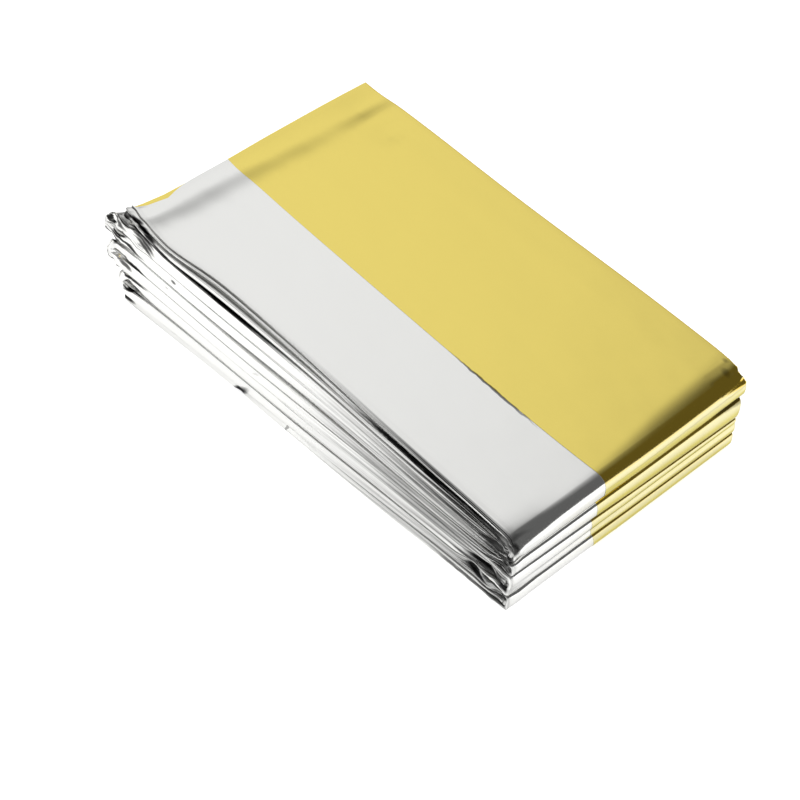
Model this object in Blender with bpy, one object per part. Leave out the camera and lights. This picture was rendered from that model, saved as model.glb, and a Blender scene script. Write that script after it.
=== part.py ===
"""Folded foil blanket: one strip of pleated metallised film, folded back and forth into a flat stack.

The strip runs along X and turns round at both ends, so the stack has eight passes, four folds at its
right end and three at its left end. One face of the strip carries a wide flap of gold film, whose cut
edge stands a little above the silver beside it. The strip's two free ends are at the left: one lies
under the stack and one on top of it.
"""

import math
from collections import namedtuple

import bmesh
import bpy

MM = 0.001

# Driving dimensions, in millimetres. X runs from the left end, Y from the front side, Z up from below.
PANEL_LENGTH = 131.0
FLAP_EDGE = 26.0
FLAP_EDGE_WIDTH = 0.3
FLAP_STEP = 0.25
SIDE_ROUNDING = 0.7
SIDE_WAVE = 0.3
FREE_END_ROUNDING = 1.2

# One row for each pass, from the lowest to the top one: the thickness of the bundle and the clear gap
# above it at both ends, the front edge of its lower and upper layers at the left, its front edge at the
# right, its back edge at both ends, and how far the grooves along its sides lie off their even heights,
# as a share of half its thickness.
Pass = namedtuple(
    "Pass",
    "thick_left thick_right gap_left gap_right"
    " front_low front_high front_right back_left back_right uneven",
)
PASSES = (
    Pass(2.6, 2.5, 0.8, 0.40, -8.4, -9.0, -0.9, 66.0, 70.0, 0.10),
    Pass(2.6, 2.5, 0.7, 0.45, -9.0, -8.6, -0.3, 66.5, 70.4, -0.15),
    Pass(2.7, 2.5, 0.9, 0.40, -8.4, -8.0, 0.3, 67.3, 70.0, 0.20),
    Pass(2.6, 2.5, 0.7, 0.45, -7.6, -7.2, -0.5, 68.0, 70.3, -0.05),
    Pass(2.6, 2.5, 0.8, 0.40, -7.0, -6.6, 0.2, 68.6, 69.8, 0.15),
    Pass(2.6, 2.5, 0.7, 0.45, -6.2, -5.8, 0.5, 69.4, 70.2, -0.20),
    Pass(2.8, 2.9, 1.3, 0.45, -5.6, -5.0, 0.2, 70.0, 71.2, 0.05),
    Pass(3.3, 3.1, 0.0, 0.00, -4.4, -0.8, 0.0, 70.4, 71.8, 0.00),
)
TOP = len(PASSES) - 1

# One row for each fold, from the lowest one up, at the right and the left end by turns: where its tip
# reaches to, and how much further its front corner splays out. The free ends have a row of their own.
Tip = namedtuple("Tip", "x splay")
FOLD_TIPS = (
    Tip(129.6, 0.0),
    Tip(-0.2, 2.6),
    Tip(130.1, 0.0),
    Tip(0.6, 8.6),
    Tip(130.4, 0.0),
    Tip(-1.2, 9.0),
    Tip(131.0, 0.0),
)
FREE_TIPS = {0: Tip(0.5, 0.5), TOP: Tip(0.0, 2.2)}
SPLAY_WIDTH = 6.0

# Soft shapes of the top pass: the trough along its left end, the roll down to its right end, the dented
# back corner there, the sunk back edge, and the bulge of its front edge near the left.
TROUGH_DEPTH = 0.55
TROUGH_WIDTH = 2.8
TROUGH_FRONT_X = 4.0
TROUGH_BACK_X = 9.5
ROLL_LENGTH_FRONT = 4.5
ROLL_LENGTH_BACK = 9.5
ROLL_DROP_FRONT = 0.55
ROLL_DROP_BACK = 1.3
DENT_DEPTH = 0.4
DENT_WIDTH = 5.0
BACK_DROP = 0.25
BACK_DROP_WIDTH = 6.0
BULGE_OUT = 2.4
BULGE_X = 17.0
BULGE_WIDTH = 12.0

# The layers that show along a side of each pass, with a groove between each two: the share of a layer's
# height that stands out, by how much, and how far in (so less than 0) the groove lies.
SIDE_LAYERS = 3
LAYER_SHARE = 0.62
LAYER_OUT = 0.3
GROOVE_OUT = -0.5

# Stations along a straight pass, round a fold and round a free end (in degrees)
PASS_STATIONS = (0.0, 0.03, 0.06, 0.10, 0.16, 0.26, 0.40, 0.56, 0.72, 0.86, 0.93, 1.0)
FOLD_STATIONS = (30.0, 60.0, 90.0, 120.0, 150.0)
FREE_END_STATIONS = (75.0, 50.0, 25.0)

# Stations across the strip: over the silver, then over the flap
Across = namedtuple("Across", "on_flap share")
ACROSS = tuple(Across(False, share) for share in (0.0, 0.06, 0.28, 0.64, 1.0)) + tuple(
    Across(True, share) for share in (0.0, 0.26, 0.56, 0.84, 1.0)
)

SILVER_COLOUR = (0.80, 0.80, 0.78, 1.0)
FOIL_ROUGHNESS = 0.28
SHARP_ANGLE = math.radians(40.0)


def blend(first, last, share):
    return first + (last - first) * share


def clamped(value):
    return min(max(value, 0.0), 1.0)


def smooth(share):
    share = clamped(share)
    return share * share * (3.0 - 2.0 * share)


def bump(distance, width):
    return math.exp(-((distance / width) ** 2))


def thickness(index, share):
    """Thickness of a pass at a share of the panel's length."""
    row = PASSES[index]
    return blend(row.thick_left, row.thick_right, share)


def underside(index, share):
    """Height of the underside of a pass: all that lies below it, with the gaps."""
    gaps = (blend(row.gap_left, row.gap_right, share) for row in PASSES[:index])
    return sum(gaps) + sum(thickness(lower, share) for lower in range(index))


def flap_way(index):
    """1 where the flap's face of the strip looks up, -1 where it looks down."""
    return 1 if index % 2 else -1


def across_at(index, share, height, across):
    """Y of a station across a pass, between its own front and back edges and the flap's edge."""
    row = PASSES[index]
    upper = 0.5 + 0.5 * height
    wave = SIDE_WAVE * math.sin(7.0 * share + 2.1 * index) * math.sin(math.pi * share)
    if across.on_flap:
        back = blend(row.back_left, row.back_right, share) - wave
        return blend(FLAP_EDGE + 0.5 * FLAP_EDGE_WIDTH, back, across.share)
    front = blend(blend(row.front_low, row.front_high, upper), row.front_right, share) + wave
    if index == TOP:
        front -= BULGE_OUT * upper * bump(share * PANEL_LENGTH - BULGE_X, BULGE_WIDTH)
    return blend(front, FLAP_EDGE - 0.5 * FLAP_EDGE_WIDTH, across.share)


def fold_radius(lower, share):
    """Radius of the middle line of the fold from a pass to the next one up."""
    low = underside(lower, share) + 0.5 * thickness(lower, share)
    high = underside(lower + 1, share) + 0.5 * thickness(lower + 1, share)
    return 0.5 * (high - low)


def fold_depth(lower, share):
    """How far the centre of a fold lies inside its tip."""
    both = thickness(lower, share) + thickness(lower + 1, share)
    return fold_radius(lower, share) + 0.25 * both


def splayed(tip, index, across):
    """X of a left tip: level across the strip, but for its front corner."""
    front = across_at(index, 0.0, 0.0, ACROSS[0])
    from_front = across_at(index, 0.0, 0.0, across) - front
    return tip.x - tip.splay * math.exp(-from_front / SPLAY_WIDTH)


def straight_start(index, across):
    """X where the straight run of a pass starts, at the left."""
    if index in FREE_TIPS:
        return splayed(FREE_TIPS[index], index, across) + FREE_END_ROUNDING
    lower = index if index % 2 else index - 1
    return splayed(FOLD_TIPS[lower], lower, across) + fold_depth(lower, 0.0)


def straight_end(index):
    """X where the straight run of a pass ends, at the right."""
    lower = index - index % 2
    return FOLD_TIPS[lower].x - fold_depth(lower, 1.0)


def top_dip(x, y):
    """How far the top face lies under its plain level."""
    trough_x = blend(TROUGH_FRONT_X, TROUGH_BACK_X, smooth((y - 10.0) / 45.0))
    trough = TROUGH_DEPTH * bump(x - trough_x, TROUGH_WIDTH)
    from_back = y - PASSES[TOP].back_right
    to_back = smooth(1.0 + from_back / (PASSES[TOP].back_right - FLAP_EDGE))
    roll_length = blend(ROLL_LENGTH_FRONT, ROLL_LENGTH_BACK, to_back)
    rolled = smooth(1.0 + (x - straight_end(TOP)) / roll_length)
    roll = blend(ROLL_DROP_FRONT, ROLL_DROP_BACK, to_back) * rolled
    dent = DENT_DEPTH * bump(math.hypot(x - straight_end(TOP), from_back), DENT_WIDTH)
    return trough + roll + dent + BACK_DROP * bump(from_back, BACK_DROP_WIDTH)


def straight_point(index, station, face_height, across, inset, end_angle=90.0):
    """A point of a straight pass. Face height is 1 on the flap's face and -1 on the other one.

    Inset moves it in from the side. An end angle under 90 degrees rounds the strip's free end.
    """
    squeeze = math.sin(math.radians(end_angle))
    height = flap_way(index) * face_height * squeeze
    y = across_at(index, station, height, across) + inset * squeeze
    x = blend(straight_start(index, across), straight_end(index), station)
    x -= FREE_END_ROUNDING * math.cos(math.radians(end_angle))
    share = clamped(x / PANEL_LENGTH)
    bottom = underside(index, share)
    top = bottom + thickness(index, share)
    if not across.on_flap and index > 0:
        if flap_way(index) > 0:
            top -= FLAP_STEP
        else:
            bottom += FLAP_STEP
    if index == TOP:
        top -= top_dip(x, y)
    return x, y, blend(bottom, top, 0.5 + 0.5 * height)


def fold_point(lower, degrees, face_height, across, inset):
    """A point of the fold between a pass and the next one up, turned from the lower pass by an angle."""
    at_right = lower % 2 == 0
    share = 1.0 if at_right else 0.0
    angle = math.radians(degrees)
    turned = 0.5 - 0.5 * math.cos(angle)
    low_y = across_at(lower, share, flap_way(lower) * face_height, across)
    high_y = across_at(lower + 1, share, flap_way(lower + 1) * face_height, across)
    y = blend(low_y, high_y, turned) + inset
    radius = fold_radius(lower, share)
    middle = underside(lower, share) + 0.5 * thickness(lower, share) + radius
    half = 0.5 * blend(thickness(lower, share), thickness(lower + 1, share), turned)
    flap_offset = half
    if not across.on_flap:
        flap_offset -= FLAP_STEP * (turned if lower == 0 else 1.0)
    if lower + 1 == TOP:
        flap_offset -= top_dip(straight_end(TOP), y) * smooth(2.0 * turned - 1.0)
    offset = blend(-half, flap_offset, 0.5 + 0.5 * face_height)
    way = 1.0 if at_right else -1.0
    reach = radius + way * offset
    centre = straight_end(lower) if at_right else straight_start(lower, across)
    return centre + way * reach * math.sin(angle), y, middle - reach * math.cos(angle)


def side_profile(uneven):
    """Heights and outward distances down a side, layer by layer, from its upper to its lower corner."""
    grooves = [1.0 - 2.0 * layer / SIDE_LAYERS + uneven for layer in range(1, SIDE_LAYERS)]
    bounds = [1.0] + grooves + [-1.0]
    profile = []
    for upper, lower in zip(bounds, bounds[1:]):
        middle = 0.5 * (upper + lower)
        half = 0.5 * LAYER_SHARE * (upper - lower)
        profile += [(middle + half, LAYER_OUT), (middle - half, LAYER_OUT), (lower, GROOVE_OUT)]
    return profile[:-1]


def ring(place, uneven):
    """Points round the strip: over its flap's face to the back, and over its other face to the front.

    Place turns a face height, a station across and an inset into a point.
    """
    side = side_profile(uneven)
    insets = {ACROSS[0]: SIDE_ROUNDING, ACROSS[-1]: -SIDE_ROUNDING}
    points = [place(1.0, across, insets.get(across, 0.0)) for across in ACROSS]
    points += [place(height, ACROSS[-1], out) for height, out in side]
    points += [place(-1.0, across, insets.get(across, 0.0)) for across in reversed(ACROSS)]
    points += [place(height, ACROSS[0], -out) for height, out in reversed(side)]
    return points


def straight_ring(index, station, end_angle=90.0):
    def place(face_height, across, inset):
        return straight_point(index, station, face_height, across, inset, end_angle)

    return ring(place, PASSES[index].uneven * flap_way(index))


def fold_ring(lower, degrees):
    def place(face_height, across, inset):
        return fold_point(lower, degrees, face_height, across, inset)

    low_uneven = PASSES[lower].uneven * flap_way(lower)
    high_uneven = PASSES[lower + 1].uneven * flap_way(lower + 1)
    return ring(place, blend(low_uneven, high_uneven, degrees / 180.0))


def strip_rings():
    """All rings, from the free end under the stack to the one on top of it."""
    rings = [straight_ring(0, 0.0, end_angle) for end_angle in reversed(FREE_END_STATIONS)]
    for index in range(len(PASSES)):
        stations = reversed(PASS_STATIONS) if index % 2 else PASS_STATIONS
        rings += [straight_ring(index, station) for station in stations]
        if index < TOP:
            rings += [fold_ring(index, degrees) for degrees in FOLD_STATIONS]
    return rings + [straight_ring(TOP, 0.0, end_angle) for end_angle in FREE_END_STATIONS]


def close_end(bm, verts):
    """Closes a free end with a row of faces between its two long edges and one face at each side."""
    columns = len(ACROSS)
    side = len(verts) // 2 - columns
    near = verts[:columns]
    far = verts[columns + side : 2 * columns + side][::-1]
    for index in range(columns - 1):
        bm.faces.new((near[index], near[index + 1], far[index + 1], far[index]))
    bm.faces.new(verts[columns - 1 : columns + side + 1])
    bm.faces.new(verts[2 * columns + side - 1 :] + verts[:1])


def build_strip():
    """Carries the ring along the strip and closes both ends."""
    bm = bmesh.new()
    rings = [[bm.verts.new(point) for point in points] for points in strip_rings()]
    for first, second in zip(rings, rings[1:]):
        for index in range(len(first)):
            bm.faces.new((first[index - 1], first[index], second[index], second[index - 1]))
    close_end(bm, rings[0])
    close_end(bm, rings[-1])
    bmesh.ops.recalc_face_normals(bm, faces=bm.faces)
    return bm


def set_on_origin(bm):
    """Brings the strip to metres, with the middle of its base on the origin."""
    bmesh.ops.scale(bm, vec=(MM, MM, MM), verts=bm.verts)
    lows = [min(vert.co[axis] for vert in bm.verts) for axis in range(3)]
    highs = [max(vert.co[axis] for vert in bm.verts) for axis in range(3)]
    middle_x = 0.5 * (lows[0] + highs[0])
    middle_y = 0.5 * (lows[1] + highs[1])
    bmesh.ops.translate(bm, vec=(-middle_x, -middle_y, -lows[2]), verts=bm.verts)


def foil_material():
    material = bpy.data.materials.new("silver_foil")
    material.use_nodes = True
    shader = material.node_tree.nodes["Principled BSDF"]
    shader.inputs["Base Color"].default_value = SILVER_COLOUR
    shader.inputs["Metallic"].default_value = 1.0
    shader.inputs["Roughness"].default_value = FOIL_ROUGHNESS
    return material


def make_blanket():
    bm = build_strip()
    set_on_origin(bm)
    mesh = bpy.data.meshes.new("foil_blanket")
    bm.to_mesh(mesh)
    bm.free()
    mesh.shade_smooth()
    mesh.set_sharp_from_angle(angle=SHARP_ANGLE)
    mesh.materials.append(foil_material())
    blanket = bpy.data.objects.new("foil_blanket", mesh)
    bpy.context.scene.collection.objects.link(blanket)


for old in list(bpy.data.objects):
    bpy.data.objects.remove(old, do_unlink=True)
make_blanket()
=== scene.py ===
"""Looks of a folded foil blanket: pleated film, silver on one face, gold on the other, and its stage."""

import math
from collections import namedtuple

import bpy
import numpy as np
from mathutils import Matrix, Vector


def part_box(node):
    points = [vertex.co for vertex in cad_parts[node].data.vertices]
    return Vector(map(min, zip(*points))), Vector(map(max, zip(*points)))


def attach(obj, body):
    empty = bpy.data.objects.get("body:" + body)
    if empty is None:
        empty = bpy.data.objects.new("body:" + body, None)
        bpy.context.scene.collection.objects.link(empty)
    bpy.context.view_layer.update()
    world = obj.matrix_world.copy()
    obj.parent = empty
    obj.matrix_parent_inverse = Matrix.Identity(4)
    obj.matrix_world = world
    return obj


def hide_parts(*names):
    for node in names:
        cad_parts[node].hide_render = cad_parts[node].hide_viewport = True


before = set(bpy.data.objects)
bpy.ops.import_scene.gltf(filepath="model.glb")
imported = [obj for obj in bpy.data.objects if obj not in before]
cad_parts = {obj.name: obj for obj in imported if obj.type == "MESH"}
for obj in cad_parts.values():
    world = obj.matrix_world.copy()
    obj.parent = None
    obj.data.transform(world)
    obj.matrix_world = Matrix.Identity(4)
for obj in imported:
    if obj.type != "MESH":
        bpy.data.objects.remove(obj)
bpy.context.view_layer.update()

bl_info = {
    "name": "Folded foil blanket",
    "version": (1, 0, 0),
    "blender": (4, 5, 0),
    "location": "3D View > Sidebar > Foil",
    "description": "Pleated silver and gold film on the solid of a folded foil blanket",
    "category": "Object",
}

MM = 0.001
NODE = "foil_blanket"
BODY = "root"

# The panel's own axes, in millimetres: X from its left end, Y from its front side, Z up from below
PANEL_LENGTH = 131.0
PANEL_BACK = 72.1
BOX_LOW, BOX_HIGH = (np.array(corner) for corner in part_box(NODE))
PANEL_ORIGIN = np.array(
    (BOX_HIGH[0] - PANEL_LENGTH * MM, BOX_HIGH[1] - PANEL_BACK * MM, BOX_LOW[2])
)

# One row for each pass, from the lowest to the top one: the thickness of the bundle and the clear gap
# above it at both ends, the front edge of its lower and upper layers at the left, its front edge at the
# right, and its back edge and the flap's cut edge at both ends
Pass = namedtuple(
    "Pass",
    "thick_left thick_right gap_left gap_right"
    " front_low front_high front_right back_left back_right flap_left flap_right",
)
PASSES = (
    Pass(2.6, 2.5, 0.8, 0.40, -8.6, -8.8, -0.9, 66.0, 70.0, 23.0, 25.3),
    Pass(2.6, 2.5, 0.7, 0.45, -9.1, -8.5, -0.6, 66.5, 70.4, 23.0, 24.6),
    Pass(2.7, 2.5, 0.9, 0.40, -8.4, -7.8, -0.4, 67.3, 70.0, 23.0, 23.5),
    Pass(2.6, 2.5, 0.7, 0.45, -8.1, -7.2, -0.7, 68.0, 70.3, 23.5, 23.5),
    Pass(2.6, 2.5, 0.8, 0.40, -7.5, -6.6, -0.8, 68.6, 69.8, 24.0, 24.3),
    Pass(2.6, 2.5, 0.7, 0.45, -6.7, -5.7, -0.3, 69.4, 70.2, 25.0, 24.3),
    Pass(2.8, 2.9, 1.4, 0.45, -6.1, -4.9, -0.4, 70.0, 71.2, 26.0, 26.0),
    Pass(3.2, 3.1, 0.0, 0.00, -5.4, -0.9, 0.0, 70.4, 71.8, 25.6, 25.9),
)
TOP = len(PASSES) - 1

# Where the tip of each fold reaches to, from the lowest fold up, how much further its front corner
# splays out, and how square its bend is at the front and at the back: 2 is round
Tip = namedtuple("Tip", "x splay square square_back", defaults=(2.0, 2.0))
FOLD_TIPS = (
    Tip(130.4, 0.0, 7.0, 7.0),
    Tip(-0.2, 2.6, 2.3, 2.3),
    Tip(130.6, 0.0, 7.0, 7.0),
    Tip(0.6, 8.6, 2.3, 2.3),
    Tip(130.8, 0.0, 7.0, 5.5),
    Tip(-1.2, 9.0, 2.3, 2.3),
    Tip(131.0, 0.0, 2.2, 4.5),
)

# The same for the free ends of the lowest and the top pass, which have no bend
FREE_TIPS = {0: Tip(0.5, 0.5), TOP: Tip(0.0, 2.2)}

# How soon the splay fades behind the front edge, how much the folds at the right crown, and draw in
# beside their tips, and how square their lower halves are
SPLAY_WIDTH = 6.0
FOLD_CROWN = 0.05
FOLD_BULGE = 0.13
LOWER_SQUARE = 7.0

# The front loops of each pass, from the lowest pass up: the shares of its thickness where its low and
# high loops end, and how many degrees their walls lean back, each at the left and at the right end
Pleats = namedtuple("Pleats", "low_left high_left low_right high_right lean_left lean_right")
PLEATS = (
    Pleats(0.02, 0.98, 0.36, 0.70, 2.0, 18.0),
    Pleats(0.02, 0.95, 0.30, 0.66, 2.0, 12.0),
    Pleats(0.05, 0.98, 0.34, 0.62, 2.0, 14.0),
    Pleats(0.02, 0.98, 0.38, 0.70, 2.0, 15.0),
    Pleats(0.02, 0.95, 0.30, 0.64, 2.0, 17.0),
    Pleats(0.05, 0.98, 0.36, 0.72, 2.0, 18.0),
    Pleats(0.02, 0.94, 0.32, 0.66, 2.0, 22.0),
    Pleats(0.42, 0.78, 0.44, 0.80, 2.0, 9.0),
)

# From which share of a pass, and over how much of it, they go from their left to their right values
CUTS_FROM = 0.3
CUTS_WIDTH = 0.6
LEAN_FROM = 0.42
LEAN_WIDTH = 0.42

# How many degrees a loop leans more or less than its row says, and the top pass's band that leans most
LEAN_SPREAD = 13.0
BAND_LOOP = 1
BAND_LEAN = 50.0

# How the pleats lie in a pass, where heights go from the flap's face (1) to the other face (-1)
FULL_LAYERS = 6
BACK_LOOPS = 4
FIRST_LAYER = 0.84
LOOP_MARGIN = 0.05

# The columns of the section: their insets from an edge, their angles round a bend, and the shares of the
# width where the first layer, the other ones and the flap have theirs
FRONT_INSETS = (0.0, 0.7, 2.5, 8.0)
BACK_INSETS = (0.0, 1.5, 8.0)
FRONT_TURN = np.radians((30, 43, 47, 51, 70, 90, 110, 129, 133, 137, 150))
BACK_TURN = np.radians((30, 60, 90, 120, 150))
FIRST_SHARES = (0.15, 0.18, 0.22, 0.26, 0.3, 0.34, 0.38, 0.45)
LAYER_SHARES = (0.5,)
FLAP_SHARES = (0.0, 0.02, 0.05, 0.1, 0.17, 0.24, 0.31, 0.38, 0.45, 0.52, 0.59, 0.66, 0.73, 0.79)

# The bends at the sides: their depth, how square the back ones are, and how far from an edge its loops
# still shape the heights of the layers, their swell and their waves
BEND_DEPTH = 0.45
SQUARE_BACK = 2.4
LOOP_REACH = 4.0
SWELL_REACH = 3.0
LOOSE_REACH = 1.0

# The slow wave of both sides: its height, its radians along a pass, and how many more each pass adds
SIDE_WAVE = 0.3
SIDE_TURN = 7.0
SIDE_SHIFT = 0.7

# Each front or back loop's own place: how far its level and its waves go, how many waves it has, the
# radians of the first one along a pass and what each further one adds, and how much more it does all that
# at the pass's ends, over which share of it
LOOP_LEVEL = 0.05
LOOP_WAVE = 0.03
LOOP_WAVES = 3
LOOP_TURN = 5.0
LOOP_TURN_MORE = 8.0
LOOSE_ENDS = 6.0
LOOSE_WIDTH = 0.06

# How unevenly the back loops share the height, and the seeds of what is random in the lowest pass; each
# pass above it has the next one
BACK_SPREAD = 0.1
BACK_SEED = 20
WAVE_SEED = 40
LEAN_SEED = 60

# The flap: how far its cut edge bows to the front between its ends, how much of its height over the first
# layer it has there, at the left and the right, and the share of the width where it has all of it
FLAP_SAG = 1.0
FLAP_SAG_POWER = 4
FLAP_LIFT_LEFT = 0.06
FLAP_LIFT_RIGHT = 0.3
FLAP_RISE_SHARE = 0.3

# The bulge of the top pass at the front: how far out, how much of it at the underside, and where
BULGE_OUT = 2.4
BULGE_LOW = 0.1
BULGE_X = 17.0
BULGE_WIDTH = 12.0

# How square the front loops are along a pass: round at its ends, flat and flush between them
SquarePlace = namedtuple("SquarePlace", "share square")
SQUARE_PLACES = (
    SquarePlace(0.0, 2.2),
    SquarePlace(0.03, 3.5),
    SquarePlace(0.09, 12.0),
    SquarePlace(0.88, 12.0),
    SquarePlace(0.95, 5.0),
    SquarePlace(1.0, 2.8),
)


def blend(first, last, share):
    """From the first value to the last one, evenly by the share."""
    return first + (last - first) * share


def smooth(share):
    """From 0 to 1, level at both ends: three squares of the share less two of its cubes."""
    share = np.clip(share, 0.0, 1.0)
    return share * share * (3.0 - 2.0 * share)


def bump(distance, width):
    """A bell curve: e to minus the square of the distance, in widths."""
    return np.exp(-((distance / width) ** 2))


def column_at(rows, key, value, place):
    """A named column of a table of places, between its rows."""
    return np.interp(place, [getattr(row, key) for row in rows], [getattr(row, value) for row in rows])


def turn_shape(angle, square):
    """Reach and level of a bend: sine and cosine of its angle, pushed out towards a square's corners."""
    reach, level = np.sin(angle), np.cos(angle)
    out = (np.abs(reach) ** square + np.abs(level) ** square) ** (-1.0 / square)
    return out * reach, out * level


def flap_way(index):
    """1 where the flap's face of the strip looks up, -1 where it looks down."""
    return 1 if index % 2 else -1


def thickness(index, share):
    """Thickness of a pass, evenly from its left to its right value."""
    row = PASSES[index]
    return blend(row.thick_left, row.thick_right, share)


def gap(index, share):
    """Clear gap above a pass, evenly from its left to its right value."""
    row = PASSES[index]
    return blend(row.gap_left, row.gap_right, share)


def underside(index, share):
    """Height of the underside of a pass: all that lies below it, with the gaps."""
    return sum(thickness(lower, share) + gap(lower, share) for lower in range(index)) + 0.0 * share


def middle_height(index, share):
    """Height halfway up a pass."""
    return underside(index, share) + 0.5 * thickness(index, share)


# The film's section: a row of columns across the strip, from the flap's cut edge on. A column has its
# share of the width, its inset from an edge, its height inside the pass, the side (-1 front, 1 back, 0
# neither) and the loop that it belongs to, its angle round that loop, and whether it lies in the flap.
Column = namedtuple("Column", "share inset inner side loop angle flap")


def inner_height(layer):
    """Height of a layer inside the pass: the flap on top, the others evenly below it."""
    if layer == 0:
        return 1.0
    return blend(FIRST_LAYER, -1.0, (layer - 1) / (FULL_LAYERS - 1))


def loop_of(layer, side):
    """The loop of a side that a layer's edge belongs to, and the angle at which it meets it."""
    order = layer - 1 if side < 0 else layer
    return order // 2, math.pi * (order % 2)


def back_columns(layer):
    """A layer's columns near its back edge, from the innermost one out."""
    loop, angle = loop_of(layer, 1)
    height = inner_height(layer)
    return [Column(1.0, inset, height, 1, loop, angle, layer == 0) for inset in BACK_INSETS[::-1]]


def layer_columns(layer, shares):
    """One layer from edge to edge: to the back if its number is even, to the front if it is odd."""
    height = inner_height(layer)
    loop, angle = loop_of(layer, -1)
    columns = [Column(0.0, inset, height, -1, loop, angle, False) for inset in FRONT_INSETS]
    columns += [Column(share, 0.0, height, 0, 0, 0.0, False) for share in shares]
    columns += back_columns(layer)
    return columns[::-1] if layer % 2 else columns


def turn_columns(layer, side):
    """The bend from a layer to the next one."""
    loop, _ = loop_of(layer, side)
    share = 0.0 if side < 0 else 1.0
    angles = FRONT_TURN if side < 0 else BACK_TURN
    return [Column(share, 0.0, 0.0, side, loop, angle, layer == 0) for angle in angles]


def arrays(columns):
    """A section's columns as one column of arrays."""
    return Column(*(np.array(values) for values in zip(*columns)))


def flap_section():
    """The flap, its bend at the back, and the first layer's back edge, where the layers go on."""
    columns = [Column(share, 0.0, inner_height(0), 0, 0, 0.0, True) for share in FLAP_SHARES]
    return arrays(columns + back_columns(0) + turn_columns(0, 1) + back_columns(1)[::-1])


def layers_section():
    """The layers from the first one's back edge on."""
    columns = layer_columns(1, FIRST_SHARES)[len(BACK_INSETS) - 1:]
    for layer in range(1, FULL_LAYERS):
        columns += turn_columns(layer, -1 if layer % 2 else 1)
        columns += layer_columns(layer + 1, LAYER_SHARES)
    return arrays(columns)


# Where the section lies on each stretch of the strip


def loop_bounds(index, side, share):
    """Heights where a side's loops meet, from the flap's face on, for each row of shares."""
    row = PLEATS[index]
    if side < 0:
        moved = smooth((share - CUTS_FROM) / CUTS_WIDTH)
        low = blend(row.low_left, row.low_right, moved)
        high = blend(row.high_left, row.high_right, moved)
        first, second = (1.0 - high, 1.0 - low) if index % 2 else (low, high)
        cuts = np.concatenate((0.0 * share, first, second, 1.0 + 0.0 * share), axis=1)
        return blend(FIRST_LAYER, -1.0, cuts)
    even = np.linspace(1.0, -1.0, BACK_LOOPS + 1)
    random = np.random.default_rng(BACK_SEED + index)
    even[1:-1] += random.uniform(-BACK_SPREAD, BACK_SPREAD, BACK_LOOPS - 1)
    return even[None, :] + 0.0 * share


def loop_places(index, section, share):
    """Middle height of each column's loop and half its height, in the flap's sense."""
    shape = (len(share), len(section.side))
    middle, half = np.zeros(shape), np.zeros(shape)
    for side in (-1, 1):
        bounds = loop_bounds(index, side, share)
        mine = section.side == side
        number = section.loop[mine]
        middle[:, mine] = 0.5 * (bounds[:, number] + bounds[:, number + 1])
        half[:, mine] = 0.5 * (bounds[:, number] - bounds[:, number + 1])
    return middle, half


def bends(section, share):
    """Reach and level of each column in its own bend."""
    front = column_at(SQUARE_PLACES, "share", "square", share)
    square = np.where(section.side < 0, front, SQUARE_BACK)
    return turn_shape(section.angle[None, :] + 0.0 * share, square)


def flap_rise(section, share):
    """Height of the flap over the first layer, as a share of its full one: least at its cut edge."""
    lift = blend(FLAP_LIFT_LEFT, FLAP_LIFT_RIGHT, share)
    return blend(lift, 1.0, smooth(section.share / FLAP_RISE_SHARE))


def heights_of(index, section, share):
    """Heights of the columns in the flap's sense: even inside the pass, in their loops near its sides."""
    middle, half = loop_places(index, section, share)
    _, level = bends(section, share)
    edge = middle + (1.0 - LOOP_MARGIN) * half * level
    near = np.where(section.side == 0, 0.0, bump(section.inset, LOOP_REACH))
    lying = blend(FIRST_LAYER, 1.0, flap_rise(section, share))
    inner = np.where(section.flap & (section.side == 0), lying, section.inner)
    return blend(inner, edge, near)


def loop_waves(index, section, share):
    """How far each loop stands out of its side: its own level and slow sine waves, more at the ends."""
    random = np.random.default_rng(WAVE_SEED + index)
    place = np.zeros((len(share), len(section.side)))
    loose = 1.0 + LOOSE_ENDS * (bump(share, LOOSE_WIDTH) + bump(share - 1.0, LOOSE_WIDTH))
    for side, loops in ((-1, FULL_LAYERS // 2), (1, BACK_LOOPS)):
        for loop in range(loops):
            level = random.uniform(-LOOP_LEVEL, LOOP_LEVEL)
            phases = random.uniform(0.0, 2.0 * math.pi, LOOP_WAVES)
            waves = sum(
                np.sin((LOOP_TURN + LOOP_TURN_MORE * number) * share + phase) / (1.0 + number)
                for number, phase in enumerate(phases)
            )
            mine = (section.side == side) & (section.loop == loop)
            place = np.where(mine, loose * (level + LOOP_WAVE * waves), place)
    return place


def loop_lean(index, section, share):
    """Slope of each front loop's wall: more at the right, uneven, and most on the top pass's band."""
    row = PLEATS[index]
    random = np.random.default_rng(LEAN_SEED + index)
    spread = random.uniform(-LEAN_SPREAD, LEAN_SPREAD, FULL_LAYERS // 2)
    if index == TOP:
        spread[BAND_LOOP] = BAND_LEAN - row.lean_right
    number = np.where(section.side < 0, section.loop, 0)
    turned = smooth((share - LEAN_FROM) / LEAN_WIDTH)
    lean = blend(row.lean_left, row.lean_right + spread[number], turned)
    return np.where(section.side < 0, np.tan(np.radians(lean)), 0.0)


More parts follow.
